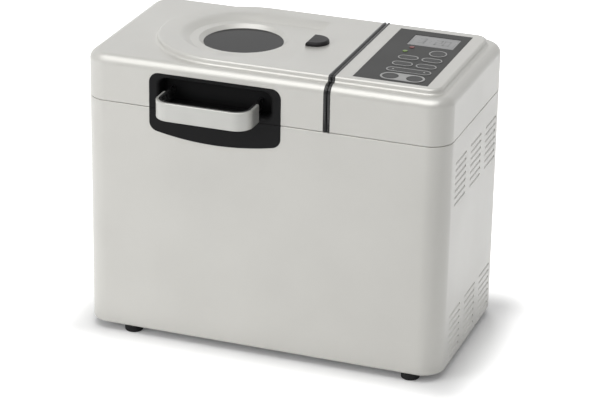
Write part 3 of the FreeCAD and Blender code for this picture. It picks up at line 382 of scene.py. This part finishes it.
rails = [("lid_rail_bead", "lid_edge_plate", "lid"), ("head_rail_bead", "head_edge_plate", "machine")]
for name, node, body in rails:
    railLow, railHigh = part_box(node)
    addRailBead(name, (railLow.x + railHigh.x) / 2, body)
print("rail beads added")


# flat marks: quads a hair above the face that carries them
def markQuads(boxes, z):
    low = np.array([[b[0], b[1]] for b in boxes])
    high = np.array([[b[2], b[3]] for b in boxes])
    xs = np.stack([low[:, 0], high[:, 0], high[:, 0], low[:, 0]], axis=1)
    ys = np.stack([low[:, 1], low[:, 1], high[:, 1], high[:, 1]], axis=1)
    points = np.stack([xs, ys, np.full_like(xs, z)], axis=-1).reshape(-1, 3)
    return points, np.arange(len(points)).reshape(-1, 4).tolist()


# seven-segment figures in the display
displayFigures = dict(text="3:20", height=15 * mm, width=8 * mm, stroke=1.7 * mm, pitch=9.46 * mm,
                      startLeft=17.6 * mm, dotHeights=(0.25, 0.62), lift=0.03 * mm,
                      frameGap=2.2 * mm, frameStroke=0.5 * mm)
segmentsOf = {"0": "abcdef", "2": "abged", "3": "abgcd"}


def addDisplayFigures():
    low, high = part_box("display_module")
    look = displayFigures
    w, h, s = look["width"], look["height"], look["stroke"]
    bars = {"a": (0, h - s, w, h), "g": (0, (h - s) / 2, w, (h + s) / 2), "d": (0, 0, w, s),
            "f": (0, h / 2, s, h), "b": (w - s, h / 2, w, h), "e": (0, 0, s, h / 2), "c": (w - s, 0, w, h / 2)}
    boxes = []
    startX = (low.x + high.x) / 2 - look["startLeft"]
    startY = (low.y + high.y) / 2 - h / 2
    for place, figure in enumerate(look["text"]):
        x = startX + place * look["pitch"]
        if figure == ":":
            boxes += [(x + (w - s) / 2, startY + h * share, x + (w + s) / 2, startY + h * share + s)
                      for share in look["dotHeights"]]
        else:
            boxes += [(x + b[0], startY + b[1], x + b[2], startY + b[3])
                      for b in (bars[segment] for segment in segmentsOf[figure])]
    gap, t = look["frameGap"], look["frameStroke"]
    x0, x1, y0, y1 = low.x + gap, high.x - gap, low.y + gap, high.y - gap
    boxes += [(x0, y0, x1, y0 + t), (x0, y1 - t, x1, y1), (x0, y0, x0 + t, y1), (x1 - t, y0, x1, y1)]
    points, faces = markQuads(boxes, high.z + look["lift"])
    return addPiece("display_figures", points, faces, "segmentInk", "machine", False)


addDisplayFigures()

# printed dots at both ends of the long key: one round polygon each
keyDots = dict(key="timer_key", radius=1.1 * mm, endInset=7.5 * mm, lift=0.03 * mm, around=20)


def addKeyDots():
    low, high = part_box(keyDots["key"])
    angle = np.linspace(0, 2 * math.pi, keyDots["around"], endpoint=False)
    centers = np.array([low.x + keyDots["endInset"], high.x - keyDots["endInset"]])
    x = centers[:, None] + keyDots["radius"] * np.cos(angle)[None, :]
    y = (low.y + high.y) / 2 + keyDots["radius"] * np.sin(angle)[None, :] + np.zeros_like(x)
    points = np.stack([x, y, np.full_like(x, high.z + keyDots["lift"])], axis=-1).reshape(-1, 3)
    faces = np.arange(len(points)).reshape(2, -1).tolist()
    return addPiece("long_key_dots", points, faces, "printInk", keyDots["key"] + "_body",
                    False)


addKeyDots()
print("marks added")


# stage: pale floor with a painted shadow around the part, white surround, soft lamps, and a strip that shows
# only in the gloss
stage = dict(floorSize=6.0, floorColor=(0.93, 0.93, 0.93, 1), floorRoughness=0.8, paintedShadowLift=0.10,
             liftFar=0.74, paintedShadowReach=0.065, ambient=0.27, aimAt=(0, 0, 0.15),
             key=dict(place=(-1.4, -1.5, 0.8), size=(1.2, 1.2), power=18, soft=True, mirrored=False),
             fill=dict(place=(2.3, 0.7, 1.0), size=(1.4, 1.4), power=2, soft=True, mirrored=False),
             top=dict(place=(0.0, -0.4, 2.2), size=(2.0, 1.0), power=14, soft=True, mirrored=False),
             back=dict(place=(-1.0, 1.8, 1.5), size=(1.4, 1.0), power=12, soft=True, mirrored=False),
             strip=dict(place=(-0.1, -1.0, 2.1), size=(2.6, 2.0), power=46, soft=False, mirrored=True))


# distance from the casing's footprint: length of max(|point - middle| - half sizes, 0)
def addFootprintDistance(tree):
    place = tree.nodes.new("ShaderNodeTexCoord")
    last = place.outputs["Object"]
    middle = ((caseLow.x + caseHigh.x) / 2, (caseLow.y + caseHigh.y) / 2, 0)
    halfSizes = ((caseHigh.x - caseLow.x) / 2, (caseHigh.y - caseLow.y) / 2, 0)
    steps = (("SUBTRACT", middle), ("ABSOLUTE", None), ("SUBTRACT", halfSizes), ("MAXIMUM", (0, 0, 0)),
             ("LENGTH", None))
    for operation, value in steps:
        step = tree.nodes.new("ShaderNodeVectorMath")
        step.operation = operation
        tree.links.new(last, step.inputs[0])
        if value is not None:
            step.inputs[1].default_value = value
        last = step.outputs["Value" if operation == "LENGTH" else "Vector"]
    return last


# 1 for rays that come from the camera, a mirror or a glass
def addSeenMask(tree):
    path = tree.nodes.new("ShaderNodeLightPath")
    seen = path.outputs["Is Camera Ray"]
    for label in ("Is Glossy Ray", "Is Transmission Ray"):
        either = tree.nodes.new("ShaderNodeMath")
        either.operation = "MAXIMUM"
        tree.links.new(seen, either.inputs[0])
        tree.links.new(path.outputs[label], either.inputs[1])
        seen = either.outputs["Value"]
    return seen


# floor: lit like paper, lifted to white away from the part where it is seen, and lifted less near the casing's
# footprint, which paints a darker shadow ring around the part
def addFloor():
    half = stage["floorSize"]
    mesh = bpy.data.meshes.new("floor")
    corners = [(-half, -half, 0), (half, -half, 0), (half, half, 0), (-half, half, 0)]
    mesh.from_pydata(corners, [], [(0, 1, 2, 3)])
    floor = bpy.data.objects.new("floor", mesh)
    bpy.context.scene.collection.objects.link(floor)
    material = bpy.data.materials.new("paleFloor")
    material.use_nodes = True
    tree = material.node_tree
    shader = tree.nodes["Principled BSDF"]
    shader.inputs["Base Color"].default_value = stage["floorColor"]
    shader.inputs["Roughness"].default_value = stage["floorRoughness"]
    shader.inputs["Emission Color"].default_value = (1, 1, 1, 1)
    # painted shadow: the emission lift is low next to the casing's footprint and rises smoothly to white a few
    # centimetres out
    spread = tree.nodes.new("ShaderNodeMapRange")
    spread.interpolation_type = "SMOOTHSTEP"
    spread.inputs["From Max"].default_value = stage["paintedShadowReach"]
    spread.inputs["To Min"].default_value = stage["paintedShadowLift"]
    spread.inputs["To Max"].default_value = stage["liftFar"]
    tree.links.new(addFootprintDistance(tree), spread.inputs["Value"])
    lift = tree.nodes.new("ShaderNodeMath")
    lift.operation = "MULTIPLY"
    tree.links.new(addSeenMask(tree), lift.inputs[0])
    tree.links.new(spread.outputs["Result"], lift.inputs[1])
    tree.links.new(lift.outputs["Value"], shader.inputs["Emission Strength"])
    mesh.materials.append(material)


def addSurround():
    world = bpy.data.worlds.new("surround")
    bpy.context.scene.world = world
    world.use_nodes = True
    tree = world.node_tree
    output = tree.nodes["World Output"]
    dim = tree.nodes["Background"]
    dim.inputs["Color"].default_value = (1, 1, 1, 1)
    dim.inputs["Strength"].default_value = stage["ambient"]
    bright = tree.nodes.new("ShaderNodeBackground")
    bright.inputs["Color"].default_value = (1, 1, 1, 1)
    mix = tree.nodes.new("ShaderNodeMixShader")
    tree.links.new(addSeenMask(tree), mix.inputs["Fac"])
    tree.links.new(dim.outputs["Background"], mix.inputs[1])
    tree.links.new(bright.outputs["Background"], mix.inputs[2])
    tree.links.new(mix.outputs["Shader"], output.inputs["Surface"])


def addLamp(name, look):
    light = bpy.data.lights.new(name, "AREA")
    light.shape = "RECTANGLE"
    light.size, light.size_y = look["size"]
    light.energy = look["power"]
    lamp = bpy.data.objects.new(name, light)
    bpy.context.scene.collection.objects.link(lamp)
    lamp.location = look["place"]
    lamp.visible_diffuse = look["soft"]
    lamp.visible_glossy = look["mirrored"]
    aim = np.array(stage["aimAt"]) - np.array(look["place"])
    tilt = math.atan2(math.hypot(aim[0], aim[1]), -aim[2])
    lamp.rotation_euler = (tilt, 0, math.atan2(aim[0], -aim[1]) + math.pi)


addFloor()
addSurround()
for lampName in ("key", "fill", "top", "back", "strip"):
    addLamp(lampName + "Lamp", stage[lampName])

# camera: the photograph's viewing angle, a long lens from the front right and above
cameraLook = dict(place=(0.9018, -2.5124, 1.2661), tilt=67.33, roll=1.0, turn=19.50, lens=153.4,
                  sensor=36.0)
cameraData = bpy.data.cameras.new("camera")
cameraData.lens = cameraLook["lens"]
cameraData.sensor_width = cameraLook["sensor"]
cameraData.dof.use_dof = False
camera = bpy.data.objects.new("camera", cameraData)
bpy.context.scene.collection.objects.link(camera)
camera.location = cameraLook["place"]
aim = Euler((math.radians(cameraLook["tilt"]), 0, math.radians(cameraLook["turn"]))).to_matrix()
aim = aim @ Matrix.Rotation(math.radians(cameraLook["roll"]), 3, "Z")
camera.rotation_euler = aim.to_euler()
bpy.context.scene.camera = camera
bpy.context.scene.view_settings.view_transform = "Standard"
print("stage ready")
